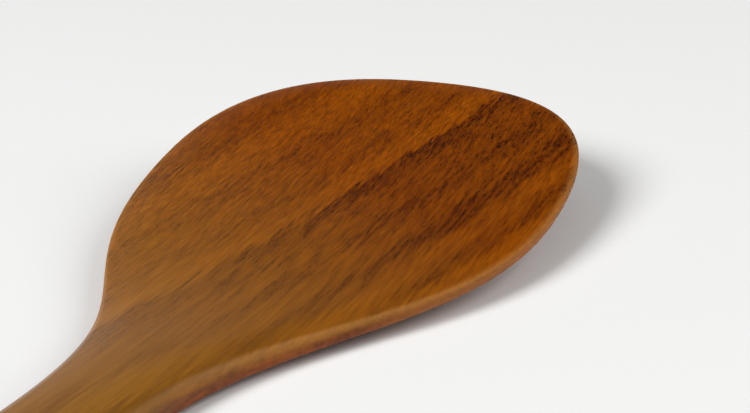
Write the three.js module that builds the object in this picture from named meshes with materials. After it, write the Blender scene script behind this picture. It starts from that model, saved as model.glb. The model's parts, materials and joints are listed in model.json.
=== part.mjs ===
// A wooden spatula, carved in one piece from a single teak board.
//
// The blade is egg shaped, widest near its blunt tip, with a barely crowned face that
// rolls off to a thin upright edge. It sweeps up towards the tip, runs through a slim
// waist into the neck, and the grain carries on into a flat-backed, rounded grip.
//
// Frame: millimetres, +Z up, +X from the grip's end to the blade's tip, the origin
// under the middle of the box around the part, and the flat back of the grip on Z = 0.
// Inside this file a place along the spatula is its distance from the tip.

import * as THREE from "three";
import { mergeVertices } from "three/addons/utils/BufferGeometryUtils.js";

// Outline, seen from above
const LENGTH = 320; // blade tip to grip end
const BLADE_WIDTH = 76; // at its widest
const WIDEST_AT = 38.6; // from the tip
const TIP_PULL_ACROSS = 28; // how squarely the tip is cut: the pull of its curve at the tip
const TIP_PULL_ALONG = 24.7; // and at the widest place
const SHOULDER_PULL = 51.5; // how far the blade keeps its width behind the widest place
const WAIST_PULL = 45.8; // how far the waist keeps its width ahead of the neck
const NECK_AT = 137.6; // narrowest place, from the tip
const NECK_WIDTH = 17.9;
const GRIP_WIDTH = 24; // at its widest
const GRIP_END_LENGTH = 11; // the rounded stretch at the grip's end
const WAIST_DRIFT = 2.8; // the waist was cut this far off the centre line, towards -Y
const DRIFT_FROM = 12; // the drift starts this far from the tip and ends at the neck

// Side profile
const TIP_LIFT = 13.6; // underside of the tip above the flat back
const SWEEP_LENGTH = 108.5; // the underside starts to rise this far from the tip
const HEEL_AT = 82; // the blade reaches its full depth here, from the tip
const HEEL_DEPTH = 3.7; // rim to underside, from the heel to the neck
const GRIP_DEPTH = 5.9; // thickness of the grip
const FACE_CROWN = 0.5; // rise of the face along its middle

// Edges
const TIP_EDGE = 1.6; // height of the upright edge at the tip
const HEEL_EDGE = 2; // and at the heel
const GRIP_EDGE = 5.4; // from the grip's top down to where its lower corner starts
const RIM_ROLL = 0.45; // the blade's face rolls down this far to its rim
const RIM_ROLL_WIDTH = 8; // over this width
const RIM_ROUND = 0.5; // rounding of the blade's upper edge
const GRIP_ROUND = 3; // rounding of the grip's upper edge
const GRIP_CORNER = 4.2; // width of the grip's lower corner
const BELLY_REACH = 0.84; // share of the half width over which the blade's underside curves up

// The blade's section turns into the grip's over this stretch, from the tip, and its
// crisp upper edge into the grip's round one over the next
const GRIP_BLEND = { from: 74, to: 173 };
const ROUND_BLEND = { from: 66, to: 165 };

// How finely the solid is divided
const OUTLINE_STEPS = 84; // along one side, tip to grip end
const FACE_STEPS = 5; // across half the face
const ROUND_STEPS = 3; // round the upper edge
const BELLY_STEPS = 6; // from the upright edge to the flat of the underside
const SPINE_INSET = 12; // the middle line stops this far inside the tip and the grip end

const TEAK = { color: 0x8a4b12, roughness: 0.5, metalness: 0 };

const { lerp, smoothstep } = THREE.MathUtils;

// Profiles: each takes the distance from the tip and gives a size in millimetres.

const gripShare = (s) => smoothstep(s, GRIP_BLEND.from, GRIP_BLEND.to);

const keel = (s) => TIP_LIFT * Math.max(0, 1 - s / SWEEP_LENGTH) ** 2;

const heelShare = (s) => Math.sin((Math.PI / 2) * Math.min(1, s / HEEL_AT));

const edge = (s) => lerp(lerp(TIP_EDGE, HEEL_EDGE, heelShare(s)), GRIP_EDGE, gripShare(s));

const depth = (s) => lerp(lerp(TIP_EDGE, HEEL_DEPTH, heelShare(s)), GRIP_DEPTH, gripShare(s));

// Height of the face over the rim, at a share of the way from the middle out to the rim.
function crest(s, out, inset) {
  const crown = FACE_CROWN * heelShare(s) * (1 - out ** 2);
  const roll = RIM_ROLL * (1 - gripShare(s)) * (1 - Math.max(0, 1 - inset / RIM_ROLL_WIDTH) ** 2);
  return crown + roll;
}

// The rounding stays inside the upright edge that carries it.
function rounding(s) {
  const share = smoothstep(s, ROUND_BLEND.from, ROUND_BLEND.to);
  return Math.min(lerp(RIM_ROUND, GRIP_ROUND, share), edge(s));
}

function drift(s) {
  const share = (s - DRIFT_FROM) / (NECK_AT - DRIFT_FROM);
  return share > 0 && share < 1 ? -WAIST_DRIFT * Math.sin(Math.PI * share) ** 2 : 0;
}

// One side of the outline, as points of distance from the tip and half width.
function halfOutline() {
  const blade = BLADE_WIDTH / 2;
  const neck = NECK_WIDTH / 2;
  const grip = GRIP_WIDTH / 2;
  const gripWidest = LENGTH - GRIP_END_LENGTH;
  const gripPull = (gripWidest - NECK_AT) / 2;
  const side = new THREE.Path();
  side.moveTo(0, 0);
  side.bezierCurveTo(0, TIP_PULL_ACROSS, WIDEST_AT - TIP_PULL_ALONG, blade, WIDEST_AT, blade);
  side.bezierCurveTo(WIDEST_AT + SHOULDER_PULL, blade, NECK_AT - WAIST_PULL, neck, NECK_AT, neck);
  side.bezierCurveTo(NECK_AT + gripPull, neck, gripWidest - gripPull, grip, gripWidest, grip);
  side.absellipse(gripWidest, 0, GRIP_END_LENGTH, grip, Math.PI / 2, 0, true);
  return side.getSpacedPoints(OUTLINE_STEPS);
}

// The section from the middle of the face, out to the rim and back under to the middle.
// Each station is a function of the rim's place and the way in to the middle line, and
// gives the inset from the rim and the height there.
function stations() {
  const top = (s) => keel(s) + depth(s);
  const list = [];
  const face = (share) => (s, way) => {
    const inset = lerp(way, rounding(s), share);
    return { inset, height: (at) => top(at) + crest(at, 1 - inset / way, inset) };
  };
  const round = (turn) => (s, way) => {
    const radius = rounding(s);
    const inset = radius * (1 - Math.sin(turn));
    const drop = radius * (1 - Math.cos(turn));
    return { inset, height: (at) => top(at) + crest(at, 1 - inset / way, inset) - drop };
  };
  const belly = (turn) => (s, way) => {
    const reach = lerp(BELLY_REACH * way, GRIP_CORNER, gripShare(s));
    const fullness = lerp(1, 0.5, gripShare(s)); // lens under the blade, quarter round under the grip
    const inset = reach * (1 - Math.cos(turn));
    const fall = Math.sin(turn) ** (2 * fullness);
    return { inset, height: (at) => keel(at) + (depth(at) - edge(at)) * (1 - fall) };
  };
  const quarter = Math.PI / 2;
  for (let i = 0; i < FACE_STEPS; i++) list.push(face(i / FACE_STEPS));
  for (let i = 0; i <= ROUND_STEPS; i++) list.push(round((quarter * i) / ROUND_STEPS));
  for (let i = 0; i <= BELLY_STEPS; i++) list.push(belly((quarter * i) / BELLY_STEPS));
  list.push((s, way) => ({ inset: way, height: keel }));
  return list;
}

// A closed skin: one column of stations for each outline point, out along one side and
// back along the other, folded together along the middle line.
function carvedBody() {
  const side = halfOutline();
  const back = side.slice(1, -1).reverse();
  const ring = [...side.map((p) => [p, 1]), ...back.map((p) => [p, -1])];
  const section = stations();
  const positions = [];
  for (const [rim, hand] of ring) {
    const spine = lerp(SPINE_INSET, LENGTH - SPINE_INSET, rim.x / LENGTH);
    const way = Math.hypot(spine - rim.x, rim.y);
    for (const station of section) {
      const { inset, height } = station(rim.x, way);
      const s = lerp(rim.x, spine, inset / way);
      const across = rim.y * (1 - inset / way);
      positions.push(LENGTH / 2 - s, hand * across + drift(s), height(s));
    }
  }
  const rows = section.length;
  const faces = [];
  for (let column = 0; column < ring.length; column++) {
    const next = (column + 1) % ring.length;
    for (let row = 0; row < rows - 1; row++) {
      const a = column * rows + row;
      const b = next * rows + row;
      faces.push(a, a + 1, b, b, a + 1, b + 1);
    }
  }
  const skin = new THREE.BufferGeometry();
  skin.setAttribute("position", new THREE.Float32BufferAttribute(positions, 3));
  skin.setIndex(faces);
  const closed = mergeVertices(skin, 1e-3);
  closed.computeBoundingBox();
  const middle = closed.boundingBox.getCenter(new THREE.Vector3());
  return closed.translate(0, -middle.y, 0);
}

const body = new THREE.Mesh(carvedBody(), new THREE.MeshStandardMaterial(TEAK));
body.name = "spatula_body";

const spatula = new THREE.Group();
spatula.add(body);

export default spatula;
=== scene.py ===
# %% [markdown]
# # A carved teak spatula
#
# The real spatula is one piece of wood. A maker saws the outline out of a teak board, carves the blade so
# that it sweeps up to a thin tip, eases the edges, rounds the grip and rubs the whole thing with oil. So
# the lesson has one piece to make, and most of its steps are about the wood.
#
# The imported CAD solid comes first. It fixes the frame that everything below is built in: metres, +X from
# the end of the grip to the tip of the blade, +Z up, and the flat back of the grip on Z = 0.

import json
import math

import bpy
from mathutils import Matrix, Vector

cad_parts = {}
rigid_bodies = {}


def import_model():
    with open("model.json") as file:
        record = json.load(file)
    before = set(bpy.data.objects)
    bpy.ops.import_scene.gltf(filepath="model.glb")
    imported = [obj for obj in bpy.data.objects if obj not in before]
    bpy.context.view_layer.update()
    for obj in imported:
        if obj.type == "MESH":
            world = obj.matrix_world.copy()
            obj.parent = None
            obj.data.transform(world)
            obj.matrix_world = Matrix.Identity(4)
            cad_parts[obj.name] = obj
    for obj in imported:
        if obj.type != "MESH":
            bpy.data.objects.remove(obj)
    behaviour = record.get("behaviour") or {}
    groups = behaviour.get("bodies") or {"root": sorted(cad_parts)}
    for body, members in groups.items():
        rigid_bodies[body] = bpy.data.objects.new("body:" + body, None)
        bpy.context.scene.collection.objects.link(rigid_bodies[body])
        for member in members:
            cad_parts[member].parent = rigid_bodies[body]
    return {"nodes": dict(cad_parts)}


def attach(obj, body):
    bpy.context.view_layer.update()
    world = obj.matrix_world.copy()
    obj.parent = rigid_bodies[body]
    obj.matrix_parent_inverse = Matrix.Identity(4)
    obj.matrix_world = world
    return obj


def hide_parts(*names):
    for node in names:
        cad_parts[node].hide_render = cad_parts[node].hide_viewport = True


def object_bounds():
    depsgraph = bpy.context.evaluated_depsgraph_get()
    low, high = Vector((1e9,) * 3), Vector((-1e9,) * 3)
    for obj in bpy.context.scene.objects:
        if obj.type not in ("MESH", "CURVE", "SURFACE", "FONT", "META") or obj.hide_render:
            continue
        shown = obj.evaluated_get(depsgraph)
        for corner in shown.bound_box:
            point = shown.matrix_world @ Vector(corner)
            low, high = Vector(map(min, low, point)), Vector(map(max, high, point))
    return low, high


MM_PER_METRE = 1000

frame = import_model()
cad_box = [[float(value) for value in corner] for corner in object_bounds()]
length, width, height = (MM_PER_METRE * (high - low) for low, high in zip(*cad_box))
print(f"CAD box: {length:.1f} x {width:.1f} x {height:.1f} mm, nodes {sorted(frame['nodes'])}")

# %% [markdown]
# Both the shape and the finish below are node trees, so one small helper adds a node, applies its
# settings and fills its inputs. An input may be a plain value, a socket, or a whole node, which stands
# for its first output. The three kinds of node that come up most get short names.
#
# Map Range is the busiest of the three. It reads a value between a low and a high end, and gives the
# matching value between two others. Where such a range has a name below, its four numbers are in that
# order: the low end, the high end, and what comes out at each.

# %% A helper for nodes, and one for colours
MATH, RANGE, VECTOR = "ShaderNodeMath", "ShaderNodeMapRange", "ShaderNodeVectorMath"


def add(tree, kind, inputs=(), **settings):
    node = tree.nodes.new(kind)
    for name, value in settings.items():
        setattr(node, name, value)
    filled = inputs if isinstance(inputs, dict) else dict(enumerate(inputs))
    for key, value in filled.items():
        if isinstance(value, bpy.types.Node):
            value = next(output for output in value.outputs if output.enabled)
        if isinstance(value, bpy.types.NodeSocket):
            tree.links.new(value, node.inputs[key])
        else:
            node.inputs[key].default_value = value
    return node


def colour(sRGB):
    shares = [int(sRGB[at:at + 2], 16) / 255 for at in (1, 3, 5)]
    linear = [share / 12.92 if share <= 0.04045 else ((share + 0.055) / 1.055) ** 2.4 for share in shares]
    return linear + [1.0]


print("mid teak in linear light:", [round(share, 3) for share in colour("#8a5020")])

# %% [markdown]
# ## The finish: oiled teak
#
# Teak is a warm brown hardwood. Three things make it look like itself: growth bands, where darker and
# lighter layers of the tree are cut by the carved surface; fibres, which run straight along the board and
# streak the colour finely; and open pores, the cut ends of the vessels, which show as short dark dashes
# along the fibres. Oil darkens and warms all of them and leaves a dull satin.
#
# An image wrapped on the surface would bend the grain round the edges. Here the wood is solid instead:
# every pattern is worked out from the point's place in the board, so a band that meets an edge carries on
# down the side. Everything in wood is long and thin, so each pattern is stretched along X: one function
# scales the place by how long and how wide the pattern's marks are. A start moves a pattern to another
# part of the noise, so that it doesn't repeat the one before.

# %% Where a point lies in the board
teak = bpy.data.materials.new("oiled teak")
teak.use_nodes = True
wood = teak.node_tree
wood.nodes.clear()

place = add(wood, "ShaderNodeTexCoord").outputs["Object"]
millimetres = add(wood, VECTOR, {"Vector": place, "Scale": MM_PER_METRE}, operation="SCALE")
along = add(wood, "ShaderNodeSeparateXYZ", [millimetres]).outputs["X"]


def stretched(long_mm, wide_mm, start=(0.0, 0.0, 0.0)):
    scale = (1 / long_mm, 1 / wide_mm, 1 / wide_mm)
    return add(wood, VECTOR, [millimetres, scale, start], operation="MULTIPLY_ADD")


print(f"the wood starts with {len(wood.nodes)} nodes")

# %% [markdown]
# The board was sawn so that the layers lie 35 degrees off its face and drift 10.5 degrees across it.
# Their surfaces aren't flat: a slow noise bends them, and bundles of fibres push them to and fro, which
# frays each band into the ragged dashes that teak shows.

# %% How deep in the layers a point lies
LAYER_TILT = math.radians(35)
LAYER_DRIFT = math.radians(10.5)
BEND_SIZE, BEND_PUSH = (45.0, 14.0), 3.0
BUNDLE_SIZE, BUNDLE_PUSH = (14.0, 0.9), 7.5

across_layers = Vector((
    math.cos(LAYER_TILT) * math.tan(LAYER_DRIFT), math.cos(LAYER_TILT), math.sin(LAYER_TILT),
))
layer = add(wood, VECTOR, [millimetres, across_layers], operation="DOT_PRODUCT").outputs["Value"]
for size_mm, push_mm in ((BEND_SIZE, BEND_PUSH), (BUNDLE_SIZE, BUNDLE_PUSH)):
    noise = add(
        wood, "ShaderNodeTexNoise",
        {"Vector": stretched(*size_mm), "Scale": 1.0, "Detail": 2.0, "Roughness": 0.5},
    )
    push = add(wood, RANGE, [noise, 0.0, 1.0, -push_mm / 2, push_mm / 2])
    layer = add(wood, MATH, [layer, push], operation="ADD")
print("layers cross the board along", [round(part, 2) for part in across_layers])

# %% [markdown]
# A colour ramp is a good place for the growth bands: it reads the depth into the layers in millimetres
# and says how light the wood is there, from 0 to 1. The bands are unevenly spaced, as a tree's good and
# bad years are. One of them is a dark streak with a bright layer right behind it.

# %% Growth bands
BAND_RANGE = (-12.0, 60.0)
BANDS = [
    (-9.0, 0.80), (-7.0, 0.20), (-5.0, 0.45), (-3.0, 0.80), (-1.0, 0.45), (1.0, 0.12), (2.6, 0.14),
    (4.0, 0.46), (6.5, 0.46), (9.0, 0.18), (10.8, 0.38), (13.0, 0.42), (16.5, 0.32), (18.3, 0.16),
    (19.6, 0.14), (20.3, 0.74), (21.5, 0.82), (24.0, 0.68), (26.0, 0.40), (28.0, 0.58), (30.5, 0.60),
    (33.0, 0.52), (36.0, 0.40), (37.6, 0.64), (42.5, 0.80), (47.5, 0.40), (50.5, 0.50), (55.0, 0.60),
]
band_place = add(wood, RANGE, [layer, *BAND_RANGE, 0.0, 1.0])
bands = add(wood, "ShaderNodeValToRGB", [band_place])
stops = bands.color_ramp.elements
while len(stops) < len(BANDS):
    stops.new(1.0)
for stop, (depth_mm, light) in zip(stops, BANDS):
    stop.position = (depth_mm - BAND_RANGE[0]) / (BAND_RANGE[1] - BAND_RANGE[0])
    stop.color = (light, light, light, 1.0)
print(f"{len(stops)} stops over {BAND_RANGE[1] - BAND_RANGE[0]:.0f} mm of layers")

# %% [markdown]
# The ramp says where the wood is dark or light, and a swing along X says by how much. The two browns of
# the tip, which come further down, lie far apart, so half to three quarters of a full swing is enough on
# the blade. The two browns of the neck are close to each other, so there it is a full one. Finer streaks
# lie over the bands and break up their edges.

# %% The swing of the bands, and the streaks
BLADE_SWING = (60.0, 135.0, 0.50, 0.74)
NECK_SWING = (25.0, 70.0, 0.50, 0.0)  # on top of the blade's
STREAK_SIZE, STREAK_START = (13.0, 0.7), (2.0, 9.0, 4.0)
STREAK_LIGHT = (0.3, 0.7, 0.32, 0.68)
MIDDLE_LIGHT = 0.5

blade_swing = add(wood, RANGE, [along, *BLADE_SWING], interpolation_type="SMOOTHSTEP")
neck_swing = add(wood, RANGE, [along, *NECK_SWING], interpolation_type="SMOOTHSTEP")
band_swing = add(wood, MATH, [blade_swing, neck_swing], operation="ADD")
streaks = add(
    wood, "ShaderNodeTexNoise",
    {"Vector": stretched(*STREAK_SIZE, STREAK_START), "Scale": 1.0, "Detail": 2.0},
)
streaked = add(wood, RANGE, [streaks, *STREAK_LIGHT])
from_middle = add(wood, MATH, [bands.outputs["Color"], MIDDLE_LIGHT], operation="SUBTRACT")
lightness = add(
    wood, MATH, [from_middle, band_swing, streaked], operation="MULTIPLY_ADD", use_clamp=True,
)
print(f"streaks of about {STREAK_SIZE[0]:.0f} x {STREAK_SIZE[1]} mm")

# %% [markdown]
# Use has changed the wood unevenly. The tip and the edge on -Y met the pan, so they took up the most heat
# and oil. The fine grain is still crisp on the far side of the tip, and worn smooth towards the grip and
# towards the edge that scrapes, on -Y. Both follow from the place alone: a direction across the board,
# and a range along it. Along the rim the mesh has to say more, because only the mesh knows where the rim
# is. It carries two attributes, which are stored further down: how far the rim is paled, as worn wood and
# as a painted highlight, and where the rim's underside gets painted shade.

# %% Oil, painted shade under the rim, and wear with a painted highlight on it
PAN_WAY, HEATED = (1.0, -0.6, 0.0), (30.0, 118.0, 0.0, 1.0)
CRISP_WAY, CRISP = (1.0, 1.0, 0.0), (35.0, 130.0, 0.08, 1.0)
WORN_SHARE = 0.45

towards_pan = add(wood, VECTOR, [millimetres, PAN_WAY], operation="DOT_PRODUCT").outputs["Value"]
heated = add(wood, RANGE, [towards_pan, *HEATED])
# The oiled share is real heat and oil at the tip, and painted shade under the rim from the waist to the
# grip.
kept_oil = add(wood, "ShaderNodeAttribute", attribute_name="unscrubbed").outputs["Fac"]
oiled = add(wood, MATH, [heated, kept_oil], operation="MAXIMUM")
from_wear = add(wood, VECTOR, [millimetres, CRISP_WAY], operation="DOT_PRODUCT").outputs["Value"]
crispness = add(wood, RANGE, [from_wear, *CRISP])
# Pale wood along the rim: partly real wear, and partly a painted highlight on the rounded edge.
rim_wear = add(wood, "ShaderNodeAttribute", attribute_name="rim_wear").outputs["Fac"]
worn = add(wood, MATH, [rim_wear, WORN_SHARE], operation="MULTIPLY")
print(f"the rim is worn by up to {WORN_SHARE:.0%}")

# %% [markdown]
# Fibres are the finest streaks: they make the colour lighter and darker by up to half. Single ones are
# far too fine to show here, so they are drawn as bundles, 0.3 mm wide. A few have come loose and been
# scrubbed pale. Those splinters are the peaks of one more noise.

# %% Fibres and splinters
FIBRE_SIZE, FIBRE_SWING = (9.0, 0.30), (0.25, 0.75, -0.55, 0.55)
SPLINTER_SIZE, SPLINTER_START = (16.0, 0.42), (7.0, 3.0, 5.0)
SPLINTER_PEAKS, SPLINTER_LIGHT = (0.68, 0.78, 0.0, 1.0), 0.35

fibres = add(
    wood, "ShaderNodeTexNoise",
    {"Vector": stretched(*FIBRE_SIZE), "Scale": 1.0, "Detail": 3.0, "Roughness": 0.65},
)
fibre_swing = add(wood, RANGE, [fibres, *FIBRE_SWING])
fibre_shade = add(wood, MATH, [fibre_swing, crispness, 1.0], operation="MULTIPLY_ADD")

splinter_noise = add(
    wood, "ShaderNodeTexNoise",
    {"Vector": stretched(*SPLINTER_SIZE, SPLINTER_START), "Scale": 1.0, "Detail": 1.0},
)
peaks = add(wood, RANGE, [splinter_noise, *SPLINTER_PEAKS])
splinters = add(wood, MATH, [peaks, crispness], operation="MULTIPLY")
splinter_shade = add(wood, MATH, [splinters, SPLINTER_LIGHT, 1.0], operation="MULTIPLY_ADD")
print(f"fibres {FIBRE_SIZE[1]} mm wide, splinters {SPLINTER_SIZE[1]} mm")

# %% [markdown]
# Pores are cells: a Voronoi pattern, stretched like the fibres, is darkened close to its points, which
# leaves one dash to a cell. Dark layers are the porous ones, so there the dashes reach further and run
# together. Teak's pores are 0.1 to 0.3 mm wide, one or two pixels here, so they are drawn at about their
# real size.

# %% Pores
PORE_SIZE, PORE_DARK = (2.0, 0.42), 0.75
PORE_REACH = (0.25, 0.55, 0.46, 0.12)  # as a share of a cell, from dark wood to light
PORE_EDGE = 0.10

pore_cells = add(
    wood, "ShaderNodeTexVoronoi", {"Vector": stretched(*PORE_SIZE), "Scale": 1.0, "Randomness": 1.0},
)
pore_reach = add(wood, RANGE, [lightness, *PORE_REACH])
within = add(wood, MATH, [pore_reach, pore_cells.outputs["Distance"]], operation="SUBTRACT")
pore_fill = add(wood, RANGE, [within, 0.0, PORE_EDGE, 0.0, 1.0])
pores = add(wood, MATH, [pore_fill, crispness], operation="MULTIPLY")
pore_shade = add(wood, MATH, [pores, -PORE_DARK, 1.0], operation="MULTIPLY_ADD")
print(f"one pore in each {PORE_SIZE[0]} x {PORE_SIZE[1]} mm")

# %% [markdown]
# The colour itself is a mix of two browns by the lightness of the band, and both browns shift from a
# yellow brown to a red one as the wood gets more oil, and under the rim as painted shade. The rim is
# paler, as worn wood and as a painted highlight. Fibres, pores and splinters then scale the colour.

# %% The colour
# The oiled browns also give the painted shade under the rim.
DARK_LAYER = ("#784c16", "#461300")  # without oil, and with
LIGHT_LAYER = ("#a66f20", "#9c4f00")
# The pale rim colour: worn wood, and also a painted highlight.
WORN_WOOD = "#b07830"
SHARE, FIRST, SECOND, MIXED = 0, 6, 7, 2  # sockets of a Mix node that mixes colours

browns = []
for dry, rich in (DARK_LAYER, LIGHT_LAYER):
    brown = add(
        wood, "ShaderNodeMix", {SHARE: oiled, FIRST: colour(dry), SECOND: colour(rich)}, data_type="RGBA",
    )
    browns.append(brown.outputs[MIXED])
banded = add(
    wood, "ShaderNodeMix", {SHARE: lightness, FIRST: browns[0], SECOND: browns[1]}, data_type="RGBA",
).outputs[MIXED]
# The rim is mixed towards the pale colour: wear, and a painted highlight.
surface = add(
    wood, "ShaderNodeMix", {SHARE: worn, FIRST: banded, SECOND: colour(WORN_WOOD)}, data_type="RGBA",
).outputs[MIXED]
for shade in (fibre_shade, pore_shade, splinter_shade):
    surface = add(wood, VECTOR, [surface, shade], operation="MULTIPLY")
print("browns:", *DARK_LAYER, *LIGHT_LAYER)

# %% [markdown]
# Oiled wood is duller than varnished wood, so the specular level is low. The roughness follows the
# fibres, and it is highest where the rim has lost its oil. A very shallow bump lets the pores and the
# fibres catch the light.

# %% The shader
BUMP_STRENGTH, BUMP_MM = 0.4, 0.03
SATIN = (0.4, 1.6, 0.34, 0.29)  # roughness, from dark fibres to light ones
WORN_ROUGHENING = 0.8
OIL_IOR, OIL_SPECULAR = 1.5, 0.2

relief = add(wood, MATH, [fibre_shade, pores], operation="SUBTRACT")
bump = add(
    wood, "ShaderNodeBump",
    {"Strength": BUMP_STRENGTH, "Distance": BUMP_MM / MM_PER_METRE, "Height": relief},
)
satin = add(wood, RANGE, [fibre_shade, *SATIN])
roughness = add(wood, MATH, [worn, WORN_ROUGHENING, satin], operation="MULTIPLY_ADD")
shader = add(
    wood, "ShaderNodeBsdfPrincipled",
    {
        "Base Color": surface, "Roughness": roughness, "Normal": bump,
        "IOR": OIL_IOR, "Specular IOR Level": OIL_SPECULAR,
    },
)
add(wood, "ShaderNodeOutputMaterial", {"Surface": shader})
print(f"oiled teak: {len(wood.nodes)} nodes")

# %% [markdown]
# ## The body
#
# The outline is three smooth curves and a round end. A smooth curve needs only its two ends and a pull at
# each: how far it keeps straight on before it turns. Places along the spatula are distances from the tip,
# in millimetres, and the sizes are the ones that the CAD solid has.

# %% The outline's curves
BLADE_WIDTH, WIDEST_AT = 76.0, 38.6
NECK_WIDTH, NECK_AT = 17.9, 137.6
GRIP_WIDTH, GRIP_END_LENGTH = 24.0, 11.0
TIP_PULL_ACROSS, TIP_PULL_ALONG = 28.0, 24.7
SHOULDER_PULL, WAIST_PULL = 51.5, 45.8
ROUND_PULL = 0.5523  # the share of a radius that makes a curve a quarter of an ellipse

tip, grip_end = Vector((0, 0, 0)), Vector((length, 0, 0))
widest = Vector((WIDEST_AT, BLADE_WIDTH / 2, 0))
neck = Vector((NECK_AT, NECK_WIDTH / 2, 0))
grip_widest = Vector((length - GRIP_END_LENGTH, GRIP_WIDTH / 2, 0))
gripwards, outwards = Vector((1, 0, 0)), Vector((0, 1, 0))
grip_pull = (grip_widest.x - neck.x) / 2
outline = {
    "Tip curve": [tip, tip + TIP_PULL_ACROSS * outwards, widest - TIP_PULL_ALONG * gripwards, widest],
    "Blade curve": [widest, widest + SHOULDER_PULL * gripwards, neck - WAIST_PULL * gripwards, neck],
    "Grip curve": [neck, neck + grip_pull * gripwards, grip_widest - grip_pull * gripwards, grip_widest],
    "End curve": [
        grip_widest,
        grip_widest + ROUND_PULL * GRIP_END_LENGTH * gripwards,
        grip_end + ROUND_PULL * grip_widest.y * outwards,
        grip_end,
    ],
}
print(f"outline of {len(outline)} curves, {length:.0f} mm long")

# %% [markdown]
# The section changes all the way along, from a thin blade with a crisp edge to a grip with round corners,
# but every change follows a simple rule of the distance from the tip. Geometry Nodes suit that: a flat
# grid is bent round the outline, one column for each place on it, and each column walks from the middle
# of the face, over the rim and back underneath to the middle. The sizes are named inputs of the tree. All
# but four are the CAD solid's: the small lower arris, which the solid leaves sharp, and the last three,
# which say where the rim is paled by wear and a painted highlight, and where its underside gets
# painted shade.

# %% Sizes of the section, and of the grid
sizes = {
    "Length": length, "Spine inset": 12.0,
    "Tip lift": 13.6, "Sweep length": 108.5,
    "Heel place": 82.0, "Heel depth": 3.7, "Grip depth": 5.9,
    "Face crown": 0.5, "Rim roll": 0.45, "Rim roll width": 8.0,
    "Tip edge": 1.6, "Heel edge": 2.0, "Grip edge": 5.4,
    "Rim round": 0.5, "Grip round": 3.0, "Lower arris": 1.1,
    "Grip corner": 4.2, "Belly reach": 0.84,
    "Grip starts": 74.0, "Grip whole": 173.0,
    "Round starts": 66.0, "Round whole": 165.0,
    "Waist drift": 2.8, "Drift starts": 12.0, "Neck place": NECK_AT,
    "Wear width": 1.4, "Scraped to": 40.0, "Oiled from": 95.0,
}
FACE, RIM, ARRIS, BELLY, FLAT = 40, 8, 4, 22, 6  # steps of a column
AROUND = 721
ROWS = FACE + RIM + 1 + ARRIS + BELLY + FLAT + 1
print(f"{len(sizes)} sizes, and a grid of {AROUND} x {ROWS} points")

# %% [markdown]
# The tree starts with its inputs. The outline could be a curve that is drawn beside the tree and read by
# it, but then a part of the shape would live somewhere else. So the points of the four curves are inputs
# too, and the tree makes the curves and joins them into one side of the outline.

# %% The tree's inputs and one side of the outline
CURVE_PARTS = ("start", "leaving", "arriving", "end")
CURVE_STEPS = 200

carve = bpy.data.node_groups.new("carved spatula", "GeometryNodeTree")
carve.interface.new_socket("Geometry", in_out="OUTPUT", socket_type="NodeSocketGeometry")
sockets = {}
for name in sizes:
    sockets[name] = carve.interface.new_socket(name, in_out="INPUT", socket_type="NodeSocketFloat")
for label in (f"{name} {part}" for name in outline for part in CURVE_PARTS):
    sockets[label] = carve.interface.new_socket(label, in_out="INPUT", socket_type="NodeSocketVector")
size = add(carve, "NodeGroupInput").outputs

side = add(carve, "GeometryNodeJoinGeometry")
for name in reversed(outline):
    start, leaving, arriving, end = (size[f"{name} {part}"] for part in CURVE_PARTS)
    stretch = add(
        carve, "GeometryNodeCurvePrimitiveBezierSegment",
        {
            "Resolution": CURVE_STEPS,
            "Start": start, "Start Handle": leaving, "End Handle": arriving, "End": end,
        },
        mode="POSITION",
    )
    carve.links.new(stretch.outputs["Curve"], side.inputs["Geometry"])
print(f"the tree has {len(sockets)} inputs")

# %% [markdown]
# Sample Curve then gives the place on the rim for each column of the grid: along one side from the grip's
# end to the tip, and back along the other. The grid is 1 wide, with the tip's column at X = 0. The spine
# is the middle line that every column leads to. It stops short of both ends, so the columns fan out round
# the tip and the grip's end.

# %% From column to rim and spine
HAND_STEP = 0.0001  # much less than one column, so the hand changes at the tip and nowhere else

grid = add(
    carve, "GeometryNodeMeshGrid",
    {"Size X": 1.0, "Size Y": 1.0, "Vertices X": AROUND, "Vertices Y": ROWS},
)
cell = add(carve, "ShaderNodeSeparateXYZ", [add(carve, "GeometryNodeInputPosition")])
from_tip = add(carve, MATH, [cell.outputs["X"]], operation="ABSOLUTE")
rim_share = add(carve, MATH, [from_tip, -2.0, 1.0], operation="MULTIPLY_ADD")
hand = add(carve, RANGE, [cell.outputs["X"], -HAND_STEP, HAND_STEP, 1.0, -1.0])
rim = add(
    carve, "GeometryNodeSampleCurve", {"Curves": side, "Factor": rim_share},
    mode="FACTOR", use_all_curves=True,
)
rim_place = rim.outputs["Position"]
rim_at = add(carve, "ShaderNodeSeparateXYZ", [rim_place])
rim_s, rim_w = rim_at.outputs["X"], rim_at.outputs["Y"]
spine_end = add(carve, MATH, [size["Length"], size["Spine inset"]], operation="SUBTRACT")
spine = add(carve, RANGE, [rim_s, 0.0, size["Length"], size["Spine inset"], spine_end])
spine_place = add(carve, "ShaderNodeCombineXYZ", {"X": spine})
way_in = add(carve, VECTOR, [rim_place, spine_place], operation="DISTANCE").outputs["Value"]
print(f"{AROUND} columns round the rim")

# %% [markdown]
# Each row of the grid is one station of the section, and the row's number says which: the face, the
# rounding of the rim, the small lower arris, the curved belly and the flat of the back. Map Range nodes
# turn the number into a share or an angle for each of them, clamped at both ends, so that one formula can
# simply take over from another.

# %% From row to station
QUARTER = math.pi / 2
UNDER = FACE + RIM + 1.0
BELLY_FROM = UNDER + ARRIS
FLAT_FROM = BELLY_FROM + BELLY

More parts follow.
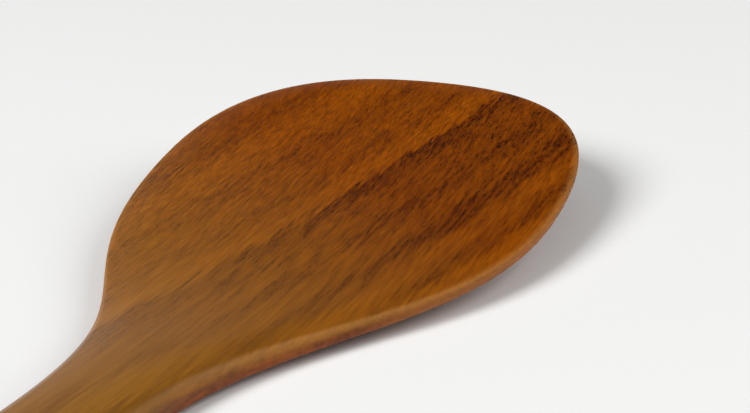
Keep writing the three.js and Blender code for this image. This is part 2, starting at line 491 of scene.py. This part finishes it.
row_place = add(carve, MATH, [cell.outputs["Y"], ROWS - 1.0, (ROWS - 1) / 2], operation="MULTIPLY_ADD")
row = add(carve, MATH, [row_place], operation="ROUND")
face_share = add(carve, RANGE, [row, 0.0, float(FACE), 0.0, 1.0])
rim_turn = add(carve, RANGE, [row, float(FACE), float(FACE + RIM), 0.0, QUARTER])
under = add(carve, MATH, [row, UNDER - 0.5], operation="GREATER_THAN")
arris_turn = add(carve, RANGE, [row, UNDER, BELLY_FROM, 0.0, QUARTER])
belly_turn = add(carve, RANGE, [row, BELLY_FROM, FLAT_FROM, 0.0, QUARTER])
flat_share = add(carve, RANGE, [row, FLAT_FROM, FLAT_FROM + FLAT, 0.0, 1.0])
print(f"{ROWS} stations: {FACE} on the face, {RIM} round the rim, {ARRIS + BELLY + FLAT} below")

# %% [markdown]
# The inset is how far in from the rim a station lies. Above, it runs from the middle to the rim's
# rounding. Below, it runs from the rim over the arris and the belly to the middle. The inset then gives
# the station's place: s, the distance from the tip, and how far it is across from the middle line.

# %% From station to inset
rim_grip = add(
    carve, RANGE, [rim_s, size["Grip starts"], size["Grip whole"], 0.0, 1.0],
    interpolation_type="SMOOTHSTEP",
)
rim_soft = add(
    carve, RANGE, [rim_s, size["Round starts"], size["Round whole"], 0.0, 1.0],
    interpolation_type="SMOOTHSTEP",
)
rounding = add(carve, RANGE, [rim_soft, 0.0, 1.0, size["Rim round"], size["Grip round"]])
rim_sine = add(carve, MATH, [rim_turn], operation="SINE")
rim_left = add(carve, MATH, [1.0, rim_sine], operation="SUBTRACT")
round_inset = add(carve, MATH, [rounding, rim_left], operation="MULTIPLY")
top_inset = add(carve, RANGE, [face_share, 0.0, 1.0, way_in, round_inset])

arris = add(carve, RANGE, [rim_grip, 0.0, 1.0, size["Lower arris"], 0.0])
arris_cosine = add(carve, MATH, [arris_turn], operation="COSINE")
arris_done = add(carve, MATH, [1.0, arris_cosine], operation="SUBTRACT")
arris_inset = add(carve, MATH, [arris, arris_done], operation="MULTIPLY")
blade_reach = add(carve, MATH, [way_in, size["Belly reach"]], operation="MULTIPLY")
reach = add(carve, RANGE, [rim_grip, 0.0, 1.0, blade_reach, size["Grip corner"]])
belly_cosine = add(carve, MATH, [belly_turn], operation="COSINE")
belly_done = add(carve, MATH, [1.0, belly_cosine], operation="SUBTRACT")
belly_inset = add(carve, RANGE, [belly_done, 0.0, 1.0, arris_inset, reach])
under_inset = add(carve, RANGE, [flat_share, 0.0, 1.0, belly_inset, way_in])

inset = add(carve, RANGE, [under, 0.0, 1.0, top_inset, under_inset])
in_share = add(carve, MATH, [inset, way_in], operation="DIVIDE")
s = add(carve, RANGE, [in_share, 0.0, 1.0, rim_s, spine])
across = add(carve, RANGE, [in_share, 0.0, 1.0, rim_w, 0.0])
print(f"the rim's rounding grows from {sizes['Rim round']} to {sizes['Grip round']} mm")

# %% [markdown]
# Heights depend on s. The keel is the line of the back: flat under the grip, then rising as a parabola to
# the tip. The depth from the rim down to the keel and the height of the upright edge grow from the tip to
# the heel, and again into the grip.

# %% Keel, depth and edge along the spatula
grip = add(
    carve, RANGE, [s, size["Grip starts"], size["Grip whole"], 0.0, 1.0], interpolation_type="SMOOTHSTEP",
)
sweep = add(carve, RANGE, [s, 0.0, size["Sweep length"], 1.0, 0.0])
swept = add(carve, MATH, [sweep, 2.0], operation="POWER")
keel = add(carve, MATH, [swept, size["Tip lift"]], operation="MULTIPLY")
heel_turn = add(carve, RANGE, [s, 0.0, size["Heel place"], 0.0, QUARTER])
heel = add(carve, MATH, [heel_turn], operation="SINE")
blade_edge = add(carve, RANGE, [heel, 0.0, 1.0, size["Tip edge"], size["Heel edge"]])
edge = add(carve, RANGE, [grip, 0.0, 1.0, blade_edge, size["Grip edge"]])
blade_depth = add(carve, RANGE, [heel, 0.0, 1.0, size["Tip edge"], size["Heel depth"]])
depth = add(carve, RANGE, [grip, 0.0, 1.0, blade_depth, size["Grip depth"]])
rim_height = add(carve, MATH, [keel, depth], operation="ADD")
print("the back lifts", sizes["Tip lift"], "mm over the last", sizes["Sweep length"], "mm")

# %% [markdown]
# Across the section, the face stands a little proud of the rim: it is barely crowned, and over the last
# few millimetres it rolls down, as an edge does that was eased with a scraper.

# %% Height of the face
out_share = add(carve, MATH, [1.0, in_share], operation="SUBTRACT")
crown_fall = add(carve, MATH, [out_share, 2.0], operation="POWER")
crown_share = add(carve, MATH, [1.0, crown_fall], operation="SUBTRACT")
crown_depth = add(carve, MATH, [heel, size["Face crown"]], operation="MULTIPLY")
crown = add(carve, MATH, [crown_depth, crown_share], operation="MULTIPLY")
roll_left = add(carve, RANGE, [top_inset, 0.0, size["Rim roll width"], 1.0, 0.0])
roll_fall = add(carve, MATH, [roll_left, 2.0], operation="POWER")
roll_share = add(carve, MATH, [1.0, roll_fall], operation="SUBTRACT")
roll_depth = add(carve, RANGE, [grip, 0.0, 1.0, size["Rim roll"], 0.0])
crest = add(carve, MATH, [roll_depth, roll_share, crown], operation="MULTIPLY_ADD")
face_height = add(carve, MATH, [rim_height, crest], operation="ADD")
rim_cosine = add(carve, MATH, [rim_turn], operation="COSINE")
rim_down = add(carve, MATH, [1.0, rim_cosine], operation="SUBTRACT")
rim_drop = add(carve, MATH, [rounding, rim_down], operation="MULTIPLY")
top_height = add(carve, MATH, [face_height, rim_drop], operation="SUBTRACT")
print(f"the face stands {sizes['Face crown'] + sizes['Rim roll']:.2f} mm proud of the rim")

# %% [markdown]
# Below the rim the belly is a lens under the blade, and turns into a quarter round under the grip: the
# same curve, raised to a power that falls from 1 to a half. The arris takes the corner off above it.

# %% Height of the belly
LENS, QUARTER_ROUND = 1.0, 0.5

belly_share = add(carve, MATH, [under_inset, reach], operation="DIVIDE", use_clamp=True)
belly_left = add(carve, MATH, [1.0, belly_share], operation="SUBTRACT")
lens_fall = add(carve, MATH, [belly_left, 2.0], operation="POWER")
lens = add(carve, MATH, [1.0, lens_fall], operation="SUBTRACT")
fullness = add(carve, RANGE, [rim_grip, 0.0, 1.0, LENS, QUARTER_ROUND])
belly_fall = add(carve, MATH, [lens, fullness], operation="POWER")
belly_up = add(carve, MATH, [1.0, belly_fall], operation="SUBTRACT")
belly_depth = add(carve, MATH, [depth, edge], operation="SUBTRACT")
belly_height = add(carve, MATH, [belly_depth, belly_up, keel], operation="MULTIPLY_ADD")
arris_sine = add(carve, MATH, [arris_turn], operation="SINE")
arris_up = add(carve, MATH, [1.0, arris_sine], operation="SUBTRACT")
arris_lift = add(carve, MATH, [arris, arris_up], operation="MULTIPLY")
under_height = add(carve, MATH, [belly_height, arris_lift], operation="ADD")
z = add(carve, RANGE, [under, 0.0, 1.0, top_height, under_height])
print(f"the arris is {sizes['Lower arris']} mm")

# %% [markdown]
# The waist was cut a little off the centre line, so a sine-squared drift moves the sections sideways
# between the blade and the neck. With that, every grid point has its place.

# %% The place of each point
drift_turn = add(carve, RANGE, [s, size["Drift starts"], size["Neck place"], 0.0, math.pi])
drift_sine = add(carve, MATH, [drift_turn], operation="SINE")
drift_wave = add(carve, MATH, [drift_sine, 2.0], operation="POWER")
drift = add(carve, MATH, [drift_wave, size["Waist drift"]], operation="MULTIPLY")
sideways = add(carve, MATH, [hand, across], operation="MULTIPLY")
y = add(carve, MATH, [sideways, drift], operation="SUBTRACT")
half_length = add(carve, MATH, [size["Length"], 0.5], operation="MULTIPLY")
x = add(carve, MATH, [half_length, s], operation="SUBTRACT")
point_mm = add(carve, "ShaderNodeCombineXYZ", [x, y, z])
point = add(carve, VECTOR, {"Vector": point_mm, "Scale": 1 / MM_PER_METRE}, operation="SCALE")
print("the waist drifts", sizes["Waist drift"], "mm towards -Y")

# %% [markdown]
# The wood reads two attributes of the mesh. Hands and pans scrub the rim, so it is worn to pale wood over
# a narrow strip, and that pale strip also stands in for a painted highlight on the rounded edge. Under the
# rim of the waist and the grip there is no pale strip. Instead the underside gets painted shade, the dark
# red brown of oiled wood. Under the rim of the tip the pale strip comes back, as wear and as painted light
# on that edge.

# %% Where the rim is worn and painted with a highlight, and where its underside gets painted shade
near_rim = add(
    carve, RANGE, [inset, 0.0, size["Wear width"], 1.0, 0.0], interpolation_type="SMOOTHSTEP",
)
# Painted shade: the rim's underside, from the waist to the grip, is marked for the darker red brown.
below = add(carve, RANGE, [row, FACE + RIM / 2, UNDER, 0.0, 1.0])
sheltered = add(carve, RANGE, [rim_s, size["Scraped to"], size["Oiled from"], 0.0, 1.0])
unscrubbed = add(carve, MATH, [below, sheltered], operation="MULTIPLY")
scrubbed = add(carve, MATH, [1.0, unscrubbed], operation="SUBTRACT")
# Pale wear and painted highlight near the rim, except where the underside has painted shade.
wear = add(carve, MATH, [near_rim, scrubbed], operation="MULTIPLY")
marked = grid.outputs["Mesh"]
for name, value in (("rim_wear", wear), ("unscrubbed", unscrubbed)):
    marked = add(
        carve, "GeometryNodeStoreNamedAttribute",
        {"Geometry": marked, "Name": name, "Value": value},
        data_type="FLOAT", domain="POINT",
    )
print(f"the rim is worn over {sizes['Wear width']} mm")

# %% [markdown]
# The grid is now bent into shape. Merge by Distance welds the columns where they meet along the spine and
# where the grid closes on itself, and the tree ends by giving the body its wood.

# %% Bend the grid, weld it and give it its wood
WELD_MM = 0.002

bent = add(carve, "GeometryNodeSetPosition", {"Geometry": marked, "Position": point})
welded = add(carve, "GeometryNodeMergeByDistance", {"Geometry": bent, "Distance": WELD_MM / MM_PER_METRE})
smooth = add(carve, "GeometryNodeSetShadeSmooth", {"Geometry": welded, "Shade Smooth": True})
real = add(carve, "GeometryNodeRealizeInstances", {"Geometry": smooth})
dressed = add(carve, "GeometryNodeSetMaterial", {"Geometry": real, "Material": teak})
add(carve, "NodeGroupOutput", {"Geometry": dressed})
print(f"carving tree: {len(carve.nodes)} nodes")

# %% [markdown]
# A modifier runs the tree on an empty object. Each size goes in by its socket's identifier, before the
# object is first evaluated. The result is copied into a plain mesh and the modifier is removed, so
# nothing in the piece is left to work out. The drift has put the box a little off centre, so the mesh is
# moved back in Y, as the CAD solid is. The last lines say which body the piece rides on, and hide the CAD
# node that it stands in for.

# %% Carve the body
body = bpy.data.objects.new("carved_body", bpy.data.meshes.new("carved_body"))
bpy.context.collection.objects.link(body)
carving = body.modifiers.new("carve", "NODES")
carving.node_group = carve
for name, value in sizes.items():
    carving[sockets[name].identifier] = value
for name, points in outline.items():
    for part, value in zip(CURVE_PARTS, points):
        carving[sockets[f"{name} {part}"].identifier] = value
carved = bpy.data.meshes.new_from_object(body.evaluated_get(bpy.context.evaluated_depsgraph_get()))
body.modifiers.clear()
body.data = carved
reach_y = [vertex.co.y for vertex in carved.vertices]
carved.transform(Matrix.Translation((0, -(min(reach_y) + max(reach_y)) / 2, 0)))
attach(body, "root")
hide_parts("spatula_body")
print(f"body: {len(carved.vertices)} points, {len(carved.polygons)} faces")

# %% [markdown]
# ## The picture
#
# The camera looks along the blade from the grip's side, low and close, so the grip runs out of the frame.
# Its place is given by what it aims at, the direction and the distance. The lens is worked out from the
# width of the picture and a focal length, both in pixels.

# %% Camera
AZIMUTH, ELEVATION, ROLL = (math.radians(angle) for angle in (22.25, 18.56, -1.02))
DISTANCE = 0.31105
AIM = Vector((0.11525, -0.00519, 0.0044))
SENSOR_MM = 36.0
PICTURE_PIXELS, FOCAL_PIXELS = 750, 1800

camera = bpy.data.objects.new("camera", bpy.data.cameras.new("camera"))
camera.data.sensor_fit = "HORIZONTAL"
camera.data.sensor_width = SENSOR_MM
camera.data.lens = SENSOR_MM * FOCAL_PIXELS / PICTURE_PIXELS
camera.data.clip_start = 0.01
level = Vector((math.cos(AZIMUTH), math.sin(AZIMUTH), 0))
view_along = math.cos(ELEVATION) * level - Vector((0, 0, math.sin(ELEVATION)))
camera.matrix_world = (
    Matrix.Translation(AIM - DISTANCE * view_along)
    @ Matrix.Rotation(AZIMUTH - QUARTER, 4, "Z")
    @ Matrix.Rotation(QUARTER - ELEVATION, 4, "X")
    @ Matrix.Rotation(ROLL, 4, "Z")
)
bpy.context.collection.objects.link(camera)
bpy.context.scene.camera = camera
print("camera at", [round(value, 3) for value in camera.matrix_world.translation])

# %% [markdown]
# The spatula lies on a plain white table that runs out of the frame. It is matt, so that it shows the
# soft shadow and no mirror image.

# %% Table
TABLE_WIDTH = 6.0
TABLE_FINISH = {"Base Color": colour("#f4f4f3"), "Roughness": 0.9, "Specular IOR Level": 0.1}

table_top = bpy.data.materials.new("matt white table")
table_top.use_nodes = True
table_shader = table_top.node_tree.nodes["Principled BSDF"]
for name, value in TABLE_FINISH.items():
    table_shader.inputs[name].default_value = value
bpy.ops.mesh.primitive_plane_add(size=TABLE_WIDTH)
table = bpy.context.object
table.name = "table"
table.data.materials.append(table_top)
print("table:", [round(value, 1) for value in table.dimensions], "m")

# %% [markdown]
# The light is soft. The room is pale low down, with a brighter and taller wall on the far left, and pale
# again overhead. In between it is dark. Seen at a low angle, the neck mirrors the wall and looks hazy,
# while the tip, which tilts up, mirrors the dark part and keeps its full colour. Each range below reads
# how far up a direction points, or how far towards the wall, from 0 to 1.

# %% Room
WALL_HEADING = math.radians(60)
WALL_WIDTH = (0.55, 0.85, 0.0, 1.0)
WALL_GLOW = (0.13, 0.32, 0.85, 0.0)
BACKDROP_GLOW = (0.10, 0.26, 0.3, 0.0)
CEILING_GLOW = (0.66, 0.84, 0.0, 0.30)

world = bpy.data.worlds.new("studio")
bpy.context.scene.world = world
world.use_nodes = True
studio = world.node_tree
studio.nodes.clear()
wall = Vector((math.cos(WALL_HEADING), math.sin(WALL_HEADING), 0))
sky = add(studio, "ShaderNodeTexCoord").outputs["Generated"]
upward = add(studio, "ShaderNodeSeparateXYZ", [sky]).outputs["Z"]
facing = add(studio, VECTOR, [sky, wall], operation="DOT_PRODUCT").outputs["Value"]
at_wall = add(studio, RANGE, [facing, *WALL_WIDTH], interpolation_type="SMOOTHSTEP")
wall_glow = add(studio, RANGE, [upward, *WALL_GLOW], interpolation_type="SMOOTHSTEP")
backdrop = add(studio, RANGE, [upward, *BACKDROP_GLOW], interpolation_type="SMOOTHSTEP")
ceiling = add(studio, RANGE, [upward, *CEILING_GLOW], interpolation_type="SMOOTHSTEP")
all_round = add(studio, MATH, [backdrop, ceiling], operation="ADD")
glow = add(studio, MATH, [wall_glow, at_wall, all_round], operation="MULTIPLY_ADD")
air = add(studio, "ShaderNodeBackground", {"Color": colour("#ffffff"), "Strength": glow})
add(studio, "ShaderNodeOutputWorld", {"Surface": air})
print(f"room: {len(studio.nodes)} nodes")

# %% [markdown]
# A large softbox on the left, a little above, throws the shadow to the right of the tip, and a wider one
# on the right lifts the near edge and the shadow. Each is a round lamp that faces what the camera aims
# at. It is placed by its heading, how steeply it stands above the table, and its distance in metres.


# %% Softboxes
def softbox(name, heading, climb, distance, across_m, watts):
    lamp = bpy.data.objects.new(name, bpy.data.lights.new(name, "AREA"))
    lamp.data.shape = "DISK"
    lamp.data.size = across_m
    lamp.data.energy = watts
    turn, rise = math.radians(heading), math.radians(climb)
    on_table = Vector((math.cos(turn), math.sin(turn), 0))
    towards = math.cos(rise) * on_table + Vector((0, 0, math.sin(rise)))
    lamp.location = AIM + distance * towards
    lamp.rotation_euler = towards.to_track_quat("Z", "Y").to_euler()
    bpy.context.collection.objects.link(lamp)
    print(f"{name}: {watts} W, {across_m} m across")


softbox("key softbox", heading=150, climb=38, distance=2.4, across_m=1.2, watts=54)
softbox("right softbox", heading=290, climb=34, distance=2.7, across_m=2.4, watts=45)
bpy.context.scene.view_settings.view_transform = "Standard"
